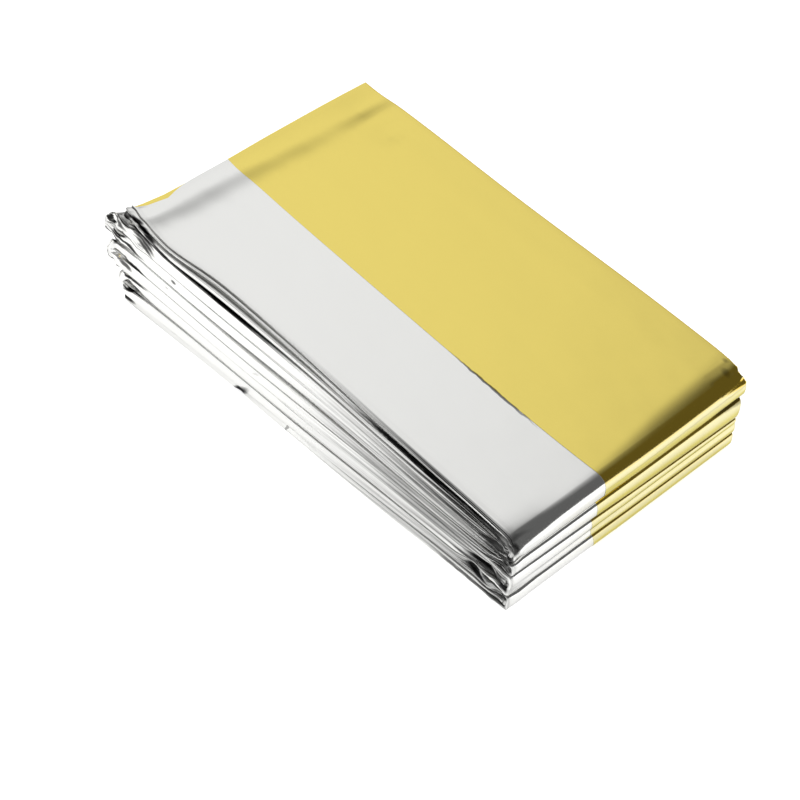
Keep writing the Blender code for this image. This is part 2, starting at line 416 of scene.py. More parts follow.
def across_of(index, section, share, height):
    """Y of the columns: between the two edges, and out of them where a loop bends or stands out."""
    row = PASSES[index]
    middle, half = loop_places(index, section, share)
    terraced = (section.side < 0) & (index == TOP)
    upper = 0.5 + 0.5 * np.where(terraced, flap_way(index) * middle, height)
    within = np.clip(share, 0.0, 1.0)
    wave = SIDE_WAVE * np.sin(SIDE_TURN * share + SIDE_SHIFT * index) * np.sin(math.pi * within)
    front = blend(blend(row.front_low, row.front_high, upper), row.front_right, share) + wave
    if index == TOP:
        bulge = BULGE_OUT * blend(BULGE_LOW, 1.0, upper)
        front = front - bulge * bump(share * PANEL_LENGTH - BULGE_X, BULGE_WIDTH)
    back = blend(row.back_left, row.back_right, share) - wave
    reach, level = bends(section, share)
    wall = 0.5 * thickness(index, share) * half * flap_way(index) * level
    loose = loop_waves(index, section, share) - loop_lean(index, section, share) * wall
    out = BEND_DEPTH * (reach - 1.0) + loose * bump(section.inset, LOOSE_REACH)
    sagged = FLAP_SAG * (1.0 - (2.0 * within - 1.0) ** FLAP_SAG_POWER)
    first = np.where(section.flap, blend(row.flap_left, row.flap_right, share) - sagged, front)
    return blend(first, back, section.share) - section.side * (section.inset - out)


def fold_radius(lower, share):
    """Half the way between the middles of the two passes that a fold joins."""
    return 0.5 * (middle_height(lower + 1, share) - middle_height(lower, share))


def fold_depth(lower, share):
    """How far the centre of a fold lies inside its tip: its radius and half the mean thickness."""
    mean = 0.5 * (thickness(lower, share) + thickness(lower + 1, share))
    return fold_radius(lower, share) + 0.5 * mean


def straight_start(index, y):
    """X where the straight run of a pass starts, at the left: level, but for its front corner."""
    lower = index if index % 2 else index - 1
    free = index in FREE_TIPS
    tip = FREE_TIPS[index] if free else FOLD_TIPS[lower]
    row = PASSES[index if free else lower]
    front = 0.5 * (row.front_low + row.front_high)
    splay = tip.splay * np.exp(-np.maximum(y - front, 0.0) / SPLAY_WIDTH)
    return tip.x - splay + (0.0 if free else fold_depth(lower, 0.0))


def straight_end(index):
    """X where the straight run of a pass ends, at the right."""
    lower = index - index % 2
    return FOLD_TIPS[lower].x - fold_depth(lower, 1.0)


# How much of the gap above each pass its loops fill at the sides, at the left and the right, where more
# than 1 presses them into the next ones, and the share of its length where that is reached
Swell = namedtuple("Swell", "left right reached")
GAP_FILLED = (
    Swell(1.05, 1.0, 1.0),
    Swell(1.56, 1.80, 1.0),
    Swell(1.12, 1.0, 1.0),
    Swell(1.70, 1.85, 1.0),
    Swell(1.05, 1.0, 1.0),
    Swell(1.70, 1.85, 1.0),
    Swell(0.0, 0.95, 0.6),
    Swell(0.0, 0.0, 1.0),
)
OPEN_ENDS = 0.07

# How far above the floor the film stays
FLOOR_CLEAR = 0.05

# The first layer's free end lies a little back, so that the gold of the next one shows as a sliver
SET_BACK = 2.3
SET_BACK_Y = 4.0
SET_BACK_WIDTH = 5.5
SET_BACK_SHARE = 0.04


def swell(index, share):
    """Half of what the loops fill of the gap above a pass."""
    if not 0 <= index < TOP:
        return 0.0 * share
    row = GAP_FILLED[index]
    fade = smooth(share / OPEN_ENDS) * smooth((1.0 - share) / OPEN_ENDS)
    return 0.5 * gap(index, share) * blend(row.left, row.right, smooth(share / row.reached)) * fade


def straight_block(index, shares, section):
    """A straight pass: at each share of its length, the section between its underside and its top."""
    share = shares[:, None]
    height = flap_way(index) * heights_of(index, section, share)
    y = across_of(index, section, share, height)
    x = blend(straight_start(index, y), straight_end(index), share)
    if index == TOP:
        set_back = bump(y - SET_BACK_Y, SET_BACK_WIDTH) * smooth(1.0 - share / SET_BACK_SHARE)
        x = x + SET_BACK * np.where(section.inner == FIRST_LAYER, set_back, 0.0)
    length_share = np.clip(x / PANEL_LENGTH, 0.0, 1.0)
    bottom = underside(index, length_share)
    top = bottom + thickness(index, length_share)
    near = np.where(section.side == 0, 0.0, bump(section.inset, SWELL_REACH))
    bottom = bottom - near * swell(index - 1, share)
    top = top + near * swell(index, share)
    if index == 0:
        bottom = bottom + FLOOR_CLEAR
    return np.stack((x, y, blend(bottom, top, 0.5 + 0.5 * height)), axis=-1)


def fold_block(lower, angles, section):
    """A fold: the section turned from one pass to the next one up, each layer at its own reach."""
    at_right = lower % 2 == 0
    share = np.full((len(angles), 1), 1.0 if at_right else 0.0)
    turned = 0.5 - 0.5 * np.cos(angles[:, None])
    low = heights_of(lower, section, share)
    high = heights_of(lower + 1, section, share)
    face = blend(low, high, turned)
    low_y = across_of(lower, section, share, flap_way(lower) * low)
    high_y = across_of(lower + 1, section, share, flap_way(lower + 1) * high)
    y = blend(low_y, high_y, turned)
    radius = fold_radius(lower, share)
    middle = middle_height(lower, share) + radius
    half = 0.5 * blend(thickness(lower, share), thickness(lower + 1, share), turned)
    way = 1.0 if at_right else -1.0
    reach = radius + way * half * face
    if lower == 0:
        reach = np.minimum(reach, middle - FLOOR_CLEAR)
    tip = FOLD_TIPS[lower]
    square = blend(tip.square, tip.square_back, np.clip(y / PANEL_BACK, 0.0, 1.0))
    if at_right:
        square = np.where(turned < 0.5, LOWER_SQUARE, square)
    out, level = turn_shape(angles[:, None], square)
    out = out * (1.0 - (FOLD_BULGE if at_right else 0.0) * level**2)
    crown = 1.0 + FOLD_CROWN * out if at_right and lower else 1.0
    centre = straight_end(lower) if at_right else straight_start(lower, y)
    return np.stack((centre + way * reach * out, y, middle - reach * level * crown), axis=-1)


# Warps of space, in which neighbouring layers move together

# The trough near the left end of the top pass, from the front side to the back: where it lies, how deep it
# is, and how wide
TroughPlace = namedtuple("TroughPlace", "y x drop")
TROUGH_PLACES = (
    TroughPlace(-3.0, 2.2, 0.60),
    TroughPlace(1.0, 2.8, 0.80),
    TroughPlace(7.0, 3.0, 0.90),
    TroughPlace(15.0, 3.2, 0.86),
    TroughPlace(24.0, 3.4, 0.80),
    TroughPlace(30.0, 4.0, 0.74),
    TroughPlace(42.0, 5.0, 0.70),
    TroughPlace(55.0, 5.4, 0.52),
    TroughPlace(66.0, 3.6, 0.30),
)
TROUGH_WIDTH = 6.2

# The roll down to the right end of the top pass: where it starts, from front to back, its slope in the
# end, and over which length it bends
RollPlace = namedtuple("RollPlace", "y x")
ROLL_PLACES = (
    RollPlace(0.0, 126.8),
    RollPlace(9.0, 126.8),
    RollPlace(15.3, 127.0),
    RollPlace(29.7, 126.0),
    RollPlace(44.4, 124.0),
    RollPlace(64.7, 122.4),
)
ROLL_SLOPE = 0.28
ROLL_WIDTH = 6.0

# How far the back edge of the top pass droops, and how far below the pass nothing moves any more
BACK_DROP = 0.25
BACK_DROP_WIDTH = 6.0
SETTLE_BELOW = 1.5

# How far the passes sink at the front and at the back of the right end, by height, and from which place
# along the panel, over which length
SagPlace = namedtuple("SagPlace", "z front back")
SAG_PLACES = (
    SagPlace(0.0, 0.0, 0.0),
    SagPlace(5.6, 0.4, 1.3),
    SagPlace(11.5, -1.2, 1.7),
    SagPlace(17.3, 0.3, 0.6),
    SagPlace(21.0, 0.0, 0.0),
)
SAG_FROM = 88.0
SAG_LENGTH = 42.0


def lowered(points, drop):
    """Points moved down by a drop at each."""
    moved = points.copy()
    moved[..., 2] -= drop
    return moved


def sag(points):
    """Lowers the right end: by the table's drops at each height, evenly from front to back."""
    x, y, z = np.moveaxis(points, -1, 0)
    front, back = (column_at(SAG_PLACES, "z", key, z) for key in ("front", "back"))
    drop = blend(front, back, np.clip(y / PANEL_BACK, 0.0, 1.0))
    return lowered(points, smooth((x - SAG_FROM) / SAG_LENGTH) * drop)


def top_dip(x, y):
    """How far the top face sinks: a bell-shaped trough, a roll that steepens and then runs straight on,
    and a droop at the back."""
    trough = bump(x - column_at(TROUGH_PLACES, "y", "x", y), TROUGH_WIDTH)
    past = np.maximum(x - column_at(ROLL_PLACES, "y", "x", y), 0.0)
    bent = np.minimum(past, ROLL_WIDTH)
    roll = ROLL_SLOPE * (0.5 * bent**2 / ROLL_WIDTH + past - bent)
    droop = BACK_DROP * bump(y - PASSES[TOP].back_right, BACK_DROP_WIDTH)
    return column_at(TROUGH_PLACES, "y", "drop", y) * trough + roll + droop


def settle(points):
    """Lowers the top pass: by the whole dip at its top, by nothing a little below its underside."""
    share = np.clip(points[..., 0] / PANEL_LENGTH, 0.0, 1.0)
    low = underside(TOP, share) - SETTLE_BELOW
    high = underside(TOP, share) + thickness(TOP, share)
    weight = np.clip((points[..., 2] - low) / (high - low), 0.0, 1.0)
    return lowered(points, weight * top_dip(points[..., 0], points[..., 1]))


# Dents: where each lies, how far it reaches each way, and how far it pushes the film each way
Dent = namedtuple("Dent", "x y z reach_x reach_y reach_z push_x push_y push_z")
DENTS = (
    Dent(122.0, -0.5, 8.8, 3.7, 2.5, 1.4, 0.0, 1.9, 0.0),
    Dent(118.5, -0.8, 5.0, 3.2, 2.5, 1.0, 0.0, 1.3, 0.0),
    Dent(127.0, -0.5, 4.0, 2.0, 2.5, 0.9, 0.0, 1.2, 0.0),
    Dent(125.0, -0.3, 18.6, 3.7, 2.5, 0.9, 0.0, 1.0, 0.0),
    Dent(126.5, -0.3, 14.0, 2.4, 2.5, 1.0, 0.0, 1.2, 0.0),
    Dent(131.0, 44.0, 7.9, 4.0, 50.0, 0.75, -0.5, 0.0, 0.0),
    Dent(42.5, -6.2, 1.4, 1.6, 2.0, 1.4, 0.0, 0.9, 0.0),
    Dent(60.5, -5.0, 2.0, 1.0, 2.0, 1.0, 0.0, 0.7, 0.0),
    Dent(48.8, -4.8, 11.1, 1.2, 2.0, 0.4, 0.0, 0.5, 0.0),
    Dent(18.1, -5.1, 17.4, 0.8, 2.0, 0.6, 0.0, 1.0, 0.0),
    Dent(6.0, -5.2, 22.4, 3.8, 3.0, 1.2, 0.0, 0.8, 0.0),
    Dent(-0.5, -5.0, 24.0, 6.0, 6.0, 1.6, 0.0, 0.0, 1.2),
    Dent(7.0, 64.0, 27.2, 4.6, 6.5, 4.0, 0.0, 0.0, -0.60),
    Dent(18.0, 62.0, 27.0, 4.4, 5.0, 4.0, 0.0, 0.0, -0.50),
    Dent(131.5, 74.0, 22.0, 4.0, 26.0, 4.5, -0.8, 0.0, 0.0),
    Dent(131.0, 72.0, 24.0, 4.0, 5.0, 2.5, -0.5, -0.6, -0.2),
    Dent(132.0, -1.0, 24.0, 4.5, 10.0, 3.0, -0.5, 0.0, -1.0),
)

# Crumples: where each lies, how far it reaches, how deep and long its creases are, and its seed
Crumple = namedtuple("Crumple", "x y z reach depth wave seed")
CRUMPLES = (
    Crumple(-3.0, -4.5, 20.0, 7.0, 0.8, 4.0, 1),
    Crumple(-4.0, -7.0, 9.0, 5.0, 0.7, 3.2, 3),
    Crumple(128.5, -0.5, 18.0, 4.5, 0.5, 3.0, 4),
    Crumple(126.5, -0.5, 6.0, 5.5, 0.55, 4.0, 5),
    Crumple(129.5, 70.0, 24.0, 4.0, 0.8, 2.8, 2),
)

# The creases of a crumple: how many sizes they have, how much finer each next one is, how many waves
# each has, and the span of their phases
CREASE_SIZES = 3
CREASE_STEP = 1.7
CREASE_WAVES = 3
PHASE_SPAN = 6.3


def dent(points):
    """Pushes of the dents: each falls off as a bell curve of its own reach on every axis."""
    moved = points.copy()
    for row in DENTS:
        x, y, z = np.moveaxis(points, -1, 0)
        near = bump(x - row.x, row.reach_x) * bump(y - row.y, row.reach_y) * bump(z - row.z, row.reach_z)
        moved += near[..., None] * np.array((row.push_x, row.push_y, row.push_z))
    return moved


def random_way(random):
    """A random direction, of length 1."""
    way = random.normal(size=3)
    return way / np.linalg.norm(way)


def folded_noise(points, wave, seed):
    """Sums of triangle waves, each along one random direction and pushing in another one: facets with
    creases between them."""
    random = np.random.default_rng(seed)
    total = np.zeros_like(points)
    for size in range(CREASE_SIZES):
        finer = CREASE_STEP**size
        for _ in range(CREASE_WAVES):
            along = random_way(random)
            push = random_way(random)
            phase = points @ along * 2.0 * math.pi / (wave / finer) + random.uniform(0.0, PHASE_SPAN)
            total += np.arcsin(np.sin(phase))[..., None] * push / finer / CREASE_WAVES
    return total


def crumple(points):
    """Folded noise round each crumple's centre, falling off as a bell curve, kept above the floor."""
    moved = points.copy()
    for row in CRUMPLES:
        centre = np.array((row.x, row.y, row.z))
        near = bump(np.linalg.norm(points - centre, axis=-1), row.reach)[..., None]
        moved += near * row.depth * folded_noise(points, row.wave, row.seed)
    moved[..., 2] = np.maximum(moved[..., 2], FLOOR_CLEAR)
    return moved


# The section's stations: how many a straight pass has, how much they crowd at its ends, where narrow
# dents get more, in their own reaches, how wide a dent may be for that, and the angles round a fold
PASS_STATIONS = 34
TOP_STATIONS = 70
END_CLUSTER = 0.85
DENT_STATIONS = (-1.2, -0.6, 0.0, 0.6, 1.2)
DENT_WIDE = 3.8
FOLD_ANGLES = np.radians(
    (15, 30, 39, 45, 51, 60, 70, 79, 86, 90, 94, 101, 110, 120, 129, 135, 141, 150, 165)
)


def pass_shares(index):
    """Shares along a pass: evenly spaced ones less a sine of themselves, and more at its narrow dents."""
    even = np.linspace(0.0, 1.0, TOP_STATIONS if index == TOP else PASS_STATIONS)
    shares = even - END_CLUSTER * np.sin(2.0 * math.pi * even) / (2.0 * math.pi)
    extra = []
    for row in DENTS:
        at = row.x / PANEL_LENGTH
        above = row.z - underside(index, at)
        if row.reach_x < DENT_WIDE and -row.reach_z < above < thickness(index, at) + row.reach_z:
            extra += [at + step * row.reach_x / PANEL_LENGTH for step in DENT_STATIONS]
    return np.unique([share for share in (*shares, *extra) if 0.0 <= share <= 1.0])


def carry(section):
    """The section carried along the strip, from its free end below to the one on top: rows of points."""
    blocks = []
    for index in range(len(PASSES)):
        shares = pass_shares(index)
        shares = shares[::-1] if index % 2 else shares
        blocks.append(straight_block(index, shares, section))
        if index < TOP:
            blocks.append(fold_block(index, FOLD_ANGLES, section))
    return np.concatenate(blocks)


# The film as a mesh


def lengths(points, axis):
    """Running length along one way of a grid of points, averaged over the other way."""
    steps = np.linalg.norm(np.diff(points, axis=axis), axis=-1).mean(axis=1 - axis)
    return np.concatenate(([0.0], np.cumsum(steps)))


def border_edges(mesh, number):
    """Which edges of a mesh lie on the border of its grid of vertex numbers."""
    ends = np.empty(2 * len(mesh.edges), int)
    mesh.edges.foreach_get("vertices", ends)
    ends = ends.reshape(-1, 2)
    sides = (number[0], number[-1], number[:, 0], number[:, -1])
    return np.any([np.isin(ends, side).all(axis=1) for side in sides], axis=0)


def film_mesh(name, points, shares):
    """A sheet over a grid of points, with the film's own lengths as its UV map, in millimetres, and with
    some shares of its points by name."""
    rows, columns = points.shape[:2]
    number = np.arange(rows * columns).reshape(rows, columns)
    quads = np.stack(
        (number[:-1, :-1], number[1:, :-1], number[1:, 1:], number[:-1, 1:]), axis=-1
    ).reshape(-1, 4)
    mesh = bpy.data.meshes.new(name)
    placed = points.reshape(-1, 3) * MM + PANEL_ORIGIN
    mesh.vertices.add(len(placed))
    mesh.vertices.foreach_set("co", placed.ravel())
    mesh.loops.add(quads.size)
    mesh.loops.foreach_set("vertex_index", quads.ravel())
    mesh.polygons.add(len(quads))
    mesh.polygons.foreach_set("loop_start", np.arange(0, quads.size, 4))
    mesh.update(calc_edges=True)
    along = lengths(points, 0)[:, None] * np.ones(columns)
    across = lengths(points, 1)[None, :] * np.ones((rows, 1))
    flat = np.stack((along, across), axis=-1).reshape(-1, 2)
    layer = mesh.uv_layers.new(name="film")
    layer.uv.foreach_set("vector", flat[quads.ravel()].ravel())
    for key, values in shares.items():
        mesh.attributes.new(key, "FLOAT", "POINT").data.foreach_set("value", values.ravel())
    mesh.shade_smooth()
    mesh.edges.foreach_set("use_edge_sharp", border_edges(mesh, number))
    return mesh, (lengths(points, 0)[-1] * MM, lengths(points, 1)[-1] * MM)


# How dark the shade between the fine pleat edges is along the front side, near the floor and on top,
# which heights those are, and how far from an edge the shade reaches
ShadePlace = namedtuple("ShadePlace", "x low high")
SHADE_PLACES = (
    ShadePlace(-12.0, 0.05, 0.05),
    ShadePlace(0.0, 0.05, 0.08),
    ShadePlace(12.0, 0.02, 0.02),
    ShadePlace(55.0, 0.02, 0.02),
    ShadePlace(65.0, 0.05, 0.08),
    ShadePlace(75.0, 0.12, 0.22),
    ShadePlace(85.0, 0.20, 0.37),
    ShadePlace(95.0, 0.30, 0.51),
    ShadePlace(105.0, 0.38, 0.62),
    ShadePlace(116.0, 0.48, 0.70),
    ShadePlace(126.0, 0.46, 0.68),
    ShadePlace(129.0, 0.40, 0.60),
    ShadePlace(131.2, 0.05, 0.05),
)
SHADE_LOW = 6.0
SHADE_HIGH = 14.0
SHADE_REACH = 0.45

# How far from an edge its pleat reaches, and how much of one it is at the left
PLEAT_REACH = 0.5
PLEAT_LEFT = 0.25

# The shade in the open gap below the top pass: from where, over which length it starts, to where, over
# which length it ends, how soft its edges are, and how much wider than the gap it is
GAP_SHADE_FROM = 0.5
GAP_SHADE_START = 2.0
GAP_SHADE_TO = 66.0
GAP_SHADE_FADE = 24.0
GAP_SHADE_EDGE = 0.3
GAP_SHADE_WIDER = 0.12

# Spots of painted shade, where the film is pinched or curls in: where each lies, how far it reaches
# each way, how many degrees it rises along X, how dark it is, and how many degrees it rises along Y
ShadeSpot = namedtuple("ShadeSpot", "x y z reach_x reach_y reach_z slant dark tilt", defaults=(0.0,))
SHADE_SPOTS = (
    ShadeSpot(42.1, -6.0, 0.3, 5.4, 7.0, 1.25, 43.0, 1.0),
    ShadeSpot(59.6, -5.0, 1.6, 1.8, 7.0, 0.4, 65.0, 0.6),
    ShadeSpot(61.4, -5.0, 2.9, 1.3, 7.0, 0.4, 10.0, 0.55),
    ShadeSpot(17.8, -5.5, 17.9, 0.9, 7.0, 0.55, 10.0, 0.85),
    ShadeSpot(16.0, -6.5, 15.2, 0.7, 7.0, 0.3, 0.0, 0.35),
    ShadeSpot(5.2, -5.2, 23.2, 4.6, 7.0, 0.5, -14.0, 0.97),
    ShadeSpot(5.8, -5.2, 22.2, 4.6, 7.0, 0.45, -14.0, 0.94),
    ShadeSpot(6.2, -5.2, 21.3, 3.8, 7.0, 0.4, -14.0, 0.9),
    ShadeSpot(-1.0, -7.5, 17.9, 7.5, 5.0, 0.45, -4.0, 1.0),
    ShadeSpot(3.6, -8.5, 13.6, 4.2, 5.0, 0.45, -4.0, 1.0),
    ShadeSpot(2.5, -8.5, 8.7, 5.8, 5.0, 0.45, 4.0, 1.0),
    ShadeSpot(0.5, -8.8, 2.0, 3.4, 5.0, 0.8, 0.0, 1.0),
    ShadeSpot(2.8, -8.8, 5.9, 2.6, 5.0, 0.45, 20.0, 1.0),
    ShadeSpot(-4.8, -9.0, 16.4, 1.6, 5.0, 0.9, 10.0, 1.0),
    ShadeSpot(2.2, -6.5, 24.9, 6.5, 5.0, 0.7, -18.0, 1.0),
    ShadeSpot(-4.3, -8.5, 24.2, 1.8, 5.0, 0.6, -58.0, 0.95),
    ShadeSpot(-1.2, -7.5, 23.5, 2.5, 5.0, 0.8, -10.0, 0.7),
    ShadeSpot(48.8, -5.0, 11.2, 1.3, 7.0, 0.35, 25.0, 0.25),
    ShadeSpot(6.5, -5.0, 24.0, 7.0, 7.0, 0.8, -7.0, 1.0),
    ShadeSpot(14.0, -6.0, 23.5, 8.0, 7.0, 0.55, -4.0, 1.0),
    ShadeSpot(32.0, -5.0, 22.95, 24.0, 7.0, 0.5, -1.3, 1.0),
    ShadeSpot(2.6, -3.6, 26.0, 2.4, 0.6, 0.9, 0.0, 1.0),
    ShadeSpot(5.8, -4.1, 25.6, 2.6, 0.6, 0.9, 0.0, 1.0),
    ShadeSpot(8.8, -4.7, 25.3, 2.4, 0.7, 0.8, -6.0, 1.0),
    ShadeSpot(13.2, -4.8, 24.4, 4.8, 1.0, 0.5, -11.0, 1.0),
    ShadeSpot(7.0, -4.7, 24.4, 3.2, 1.5, 0.35, -14.0, 0.8),
    ShadeSpot(7.2, -4.7, 23.7, 3.2, 1.5, 0.3, -14.0, 0.75),
    ShadeSpot(-3.4, -5.3, 22.7, 3.2, 1.5, 0.5, -18.0, 0.9),
    ShadeSpot(0.2, -7.5, 12.0, 2.4, 2.5, 0.6, -8.0, 0.9),
    ShadeSpot(129.8, 0.0, 21.6, 1.8, 1.3, 1.1, -30.0, 0.9),
    ShadeSpot(126.0, -0.8, 22.4, 3.5, 1.5, 0.3, -8.0, 0.8),
    ShadeSpot(126.5, -0.8, 21.0, 3.5, 1.5, 0.35, -8.0, 0.85),
    ShadeSpot(127.0, -0.8, 19.6, 3.0, 1.5, 0.3, -8.0, 0.8),
    ShadeSpot(129.0, -0.5, 18.2, 2.0, 1.3, 1.0, -30.0, 0.9),
    ShadeSpot(128.3, -0.4, 14.8, 2.2, 1.4, 0.9, -30.0, 0.9),
    ShadeSpot(127.2, -1.0, 9.6, 2.2, 1.5, 0.8, -30.0, 0.9),
    ShadeSpot(128.3, -0.3, 6.8, 1.4, 1.4, 0.9, 0.0, 0.9),
    ShadeSpot(127.4, -0.8, 1.4, 2.4, 1.5, 0.7, -10.0, 0.95),
    ShadeSpot(122.5, -0.5, 8.2, 7.0, 7.0, 1.3, -6.0, 1.0),
    ShadeSpot(116.5, -0.5, 6.8, 5.0, 7.0, 0.5, 0.0, 0.9),
    ShadeSpot(120.0, -0.5, 4.3, 4.0, 7.0, 0.8, -6.0, 1.0),
    ShadeSpot(128.3, -0.5, 3.6, 1.2, 7.0, 0.9, 0.0, 1.0),
    ShadeSpot(118.0, -0.5, 1.0, 11.0, 7.0, 0.6, 0.0, 0.85),
    ShadeSpot(124.0, -0.5, 18.4, 5.5, 7.0, 0.65, -4.0, 0.8),
    ShadeSpot(104.0, -0.5, 23.4, 26.0, 7.0, 0.45, -1.0, 1.0),
    ShadeSpot(131.0, 66.5, 16.8, 5.0, 6.5, 1.2, 0.0, 0.6, -7.0),
    ShadeSpot(97.0, 24.8, 25.4, 12.0, 0.3, 3.0, 0.0, 0.8),
    ShadeSpot(131.0, 52.0, 20.5, 5.0, 26.0, 0.3, 0.0, 0.15),
    ShadeSpot(124.0, 70.5, 26.0, 1.0, 0.8, 3.0, 0.0, 0.5),
    ShadeSpot(126.5, 68.0, 25.8, 1.6, 1.0, 3.0, 0.0, 0.45),
    ShadeSpot(128.8, 70.5, 25.0, 1.2, 1.2, 2.0, 0.0, 0.6),
)

# How soft a shade spot's edge is, in its own reaches, how far it is ragged, in metres, and how finely
SHADE_SPOT_EDGE = 0.4
SHADE_SPOT_RAGGED = 0.0007
SHADE_SPOT_NOISE_SCALE = 420.0


def pleat_share(section, points):
    """How much of a pleat's edge each point is: 1 on the front loops, more of it towards the right."""
    near = np.where(section.side < 0, bump(section.inset, PLEAT_REACH), 0.0)
    along = smooth(points[..., 0] / PANEL_LENGTH)
    return near[None, :] * blend(PLEAT_LEFT, 1.0, along)


def gap_shade(points):
    """1 inside the open gap below the top pass, at its left."""
    x, _, z = np.moveaxis(points, -1, 0)
    share = np.clip(x / PANEL_LENGTH, 0.0, 1.0)
    half = 0.5 * gap(TOP - 1, share) - swell(TOP - 1, share) + GAP_SHADE_WIDER
    middle = underside(TOP, share) - 0.5 * gap(TOP - 1, share)
    inside = 1.0 - smooth((np.abs(z - middle) - half) / GAP_SHADE_EDGE)
    started = smooth((x - GAP_SHADE_FROM) / GAP_SHADE_START)
    return inside * started * smooth((GAP_SHADE_TO - x) / GAP_SHADE_FADE)


def shade_share(section, points, flat):
    """How dark the shade between the pleat edges is at each point: from its place along and up the side,
    and in the gap below the top pass."""
    near = np.where(section.side < 0, bump(section.inset, SHADE_REACH), 0.0)
    x, _, z = np.moveaxis(points, -1, 0)
    low, high = (column_at(SHADE_PLACES, "x", key, x) for key in ("low", "high"))
    edge = near[None, :] * blend(low, high, smooth((z - SHADE_LOW) / (SHADE_HIGH - SHADE_LOW)))
    return np.maximum(edge, gap_shade(flat))


# The least length that a normal is divided by
TINY = 1e-9


def rise_share(points):
    """Which way the gold face looks at each point: 1 up, a half sideways, 0 down, from the height of the
    grid's normal, which is the cross product of its two slopes."""
    normal = np.cross(np.gradient(points, axis=0), np.gradient(points, axis=1))
    size = np.maximum(np.linalg.norm(normal, axis=-1), TINY)
    return 0.5 - 0.5 * normal[..., 2] / size


def film_piece(name, section, settings):
    """The section carried along the strip, warped, and given the film's thickness by a modifier."""
    flat = carry(section)
    points = crumple(dent(settle(sag(flat))))
    shares = {
        "pleat": pleat_share(section, points),
        "shade": shade_share(section, points, flat),
        "rise": rise_share(points),
    }
    mesh, size = film_mesh(name, points, shares)
    for material in materials(settings):
        mesh.materials.append(material)
    piece = bpy.data.objects.new(name, mesh)
    bpy.context.scene.collection.objects.link(piece)
    walls = piece.modifiers.new("film", "SOLIDIFY")
    walls.thickness = settings.thickness
    walls.offset = 0.0
    walls.material_offset = 1
    walls.use_rim = True
    return piece, size


# Materials

# The colour of the painted shade, between the pleats and in the shade spots, and how much of the light
# the film sends back at a flat angle
SHADE_COLOUR = (0.02, 0.02, 0.02)
EDGE_TINT = (0.62, 0.62, 0.62)

# How high the wrinkles and the creases are, in metres, how much rougher a pleat's edge is, and between
# which shares of its roughness the film is scuffed
WRINKLE_HEIGHT = 0.0003
CREASE_HEIGHT = 0.00008
PLEAT_ROUGHNESS = 0.2
SCUFF_LEAST = 0.7
SCUFF_MOST = 1.3

# Noises on the film: how many grains each has per millimetre along and across it, and its detail
Grain = namedtuple("Grain", "along across detail")
WRINKLES = Grain(0.03, 0.06, 2.0)
SCUFFS = Grain(0.5, 0.9, 4.0)
FINE_CREASES = Grain(0.03, 5.0, 3.0)
BROAD_CREASES = Grain(0.02, 1.3, 2.0)
CREASE_CONTRAST = 4.0

# The sockets of a Mix node that mix colours
MIX_FIRST = 6
MIX_SECOND = 7
MIX_RESULT = 2


def fill(tree, node, inputs):
    """Gives each input of a node its value, or links it where a socket is given."""
    for key, value in inputs.items():
        if isinstance(value, bpy.types.NodeSocket):
            tree.links.new(value, node.inputs[key])
        else:
            node.inputs[key].default_value = value
    return node


def add_node(tree, kind, inputs, **settings):
    """A node of a kind, with its settings and its inputs."""
    node = tree.nodes.new(kind)
    for key, value in settings.items():
        setattr(node, key, value)
    return fill(tree, node, inputs)


def math_node(tree, operation, first, second):
    """A sum, a product or the larger one of two numbers."""
    return add_node(tree, "ShaderNodeMath", {0: first, 1: second}, operation=operation).outputs[0]


def soft_step(tree, value, start, end, level=1.0):
    """0 before the start, a level past the end, and a smooth step between them."""
    inputs = {"Value": value, "From Min": start, "From Max": end, "To Max": level}
    step = add_node(tree, "ShaderNodeMapRange", inputs, interpolation_type="SMOOTHSTEP")
    return step.outputs["Result"]


def grain_noise(tree, vector, grain):
    """Noise over the film's own lengths, drawn out by its grains along and across it."""
    scale = (grain.along, grain.across, 1.0)
    drawn = add_node(tree, "ShaderNodeMapping", {"Vector": vector, "Scale": scale})
    inputs = {"Vector": drawn.outputs["Vector"], "Scale": 1.0, "Detail": grain.detail}
    return add_node(tree, "ShaderNodeTexNoise", inputs).outputs["Fac"]


def bump_node(tree, inputs):
    """The normal of a bump."""
    return add_node(tree, "ShaderNodeBump", inputs).outputs["Normal"]


def attribute_node(tree, name):
    """One of the mesh's shares."""
    return add_node(tree, "ShaderNodeAttribute", {}, attribute_name=name).outputs["Fac"]


def group_node(tree, name, build, inputs):
    """A node of a shader group that is built once: the group's inputs are numbers, but for the vector,
    and its build function, which is given them, returns its outputs."""
    group = bpy.data.node_groups.get(name)
    if group is None:
        group = bpy.data.node_groups.new(name, "ShaderNodeTree")
        for key in inputs:
            kind = "NodeSocketVector" if key == "Vector" else "NodeSocketFloat"
            group.interface.new_socket(key, in_out="INPUT", socket_type=kind)
        inside = group.nodes.new("NodeGroupInput")
        outputs = build(group, *(inside.outputs[key] for key in inputs))
        for key in outputs:
            group.interface.new_socket(key, in_out="OUTPUT", socket_type="NodeSocketFloat")
        fill(group, group.nodes.new("NodeGroupOutput"), outputs)
    return add_node(tree, "ShaderNodeGroup", inputs, node_tree=group)


def film_wrinkles(tree, vector):
    """Handled film: a soft height, and a mask of finer scuffs, both as noise."""
    return {
        "Height": grain_noise(tree, vector, WRINKLES),
        "Mask": grain_noise(tree, vector, SCUFFS),
    }


def pleat_creases(tree, vector, pleat, shade):
    """Creases along a pleat's edge: their height is fine noise, and their shade is multiplied by 1 plus
    the contrast times what the fine and the broad noise together have over 1."""
    fine = grain_noise(tree, vector, FINE_CREASES)
    both = math_node(tree, "ADD", fine, grain_noise(tree, vector, BROAD_CREASES))
    uneven = math_node(tree, "MULTIPLY", both, CREASE_CONTRAST)
    uneven = math_node(tree, "ADD", uneven, 1.0 - CREASE_CONTRAST)
    return {
        "Height": math_node(tree, "MULTIPLY", fine, pleat),
        "Shade": math_node(tree, "MULTIPLY", uneven, shade),
    }


